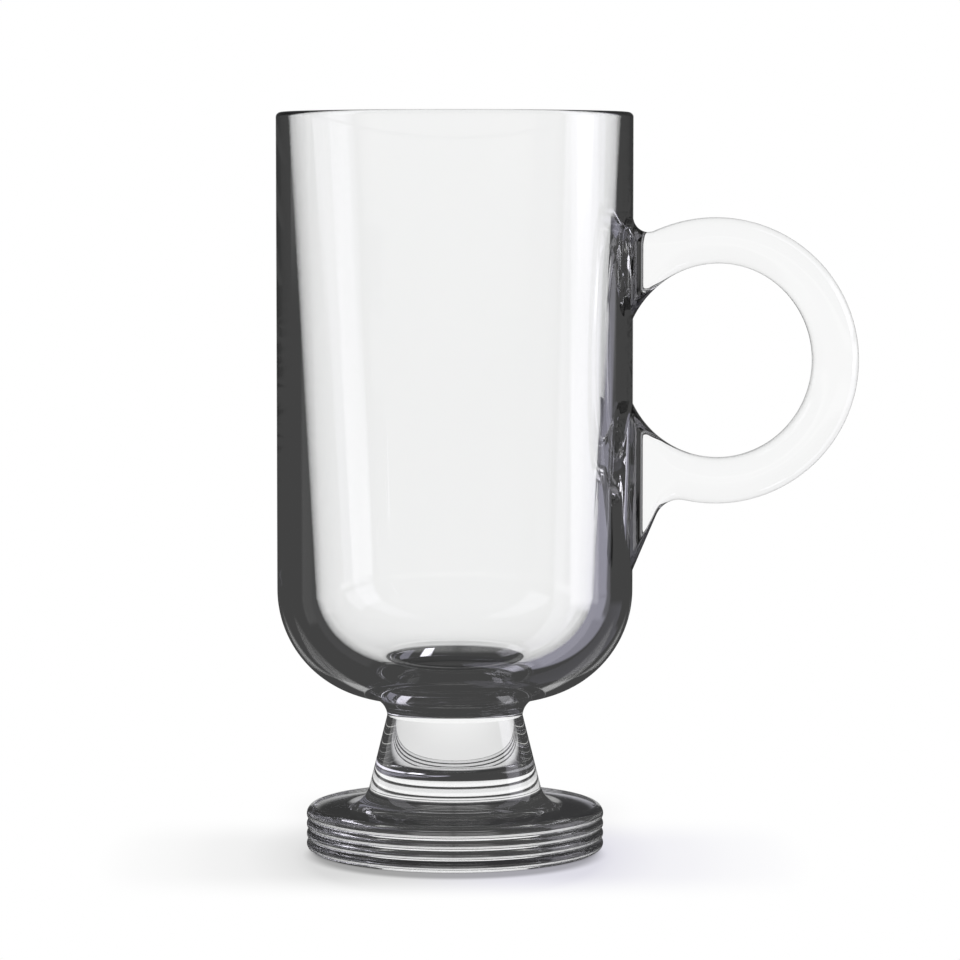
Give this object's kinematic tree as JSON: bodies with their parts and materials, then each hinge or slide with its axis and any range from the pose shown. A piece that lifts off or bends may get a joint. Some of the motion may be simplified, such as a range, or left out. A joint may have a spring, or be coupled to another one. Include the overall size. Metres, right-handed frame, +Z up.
{
  "type": "irish coffee glass mug",
  "caption": "Tall clear glass mug with a thick cylindrical bowl, round bottom, tapered stem, ribbed disc foot and a flat ring handle, for hot coffee drinks.",
  "frame": {"origin": "on the bowl's axis, in the plane that the foot stands on", "axes": "+Z up along the bowl's axis, +X towards the handle, +Y from the front of the mug to its back"},
  "size_m": [0.1192, 0.073, 0.1516],
  "materials": {
    "clear_glass": "fire-polished, clear and glossy"
  },
  "bodies": {
    "root": {"bowl": "clear_glass", "stem": "clear_glass", "foot": "clear_glass", "handle": "clear_glass"}
  },
  "joints": []
}
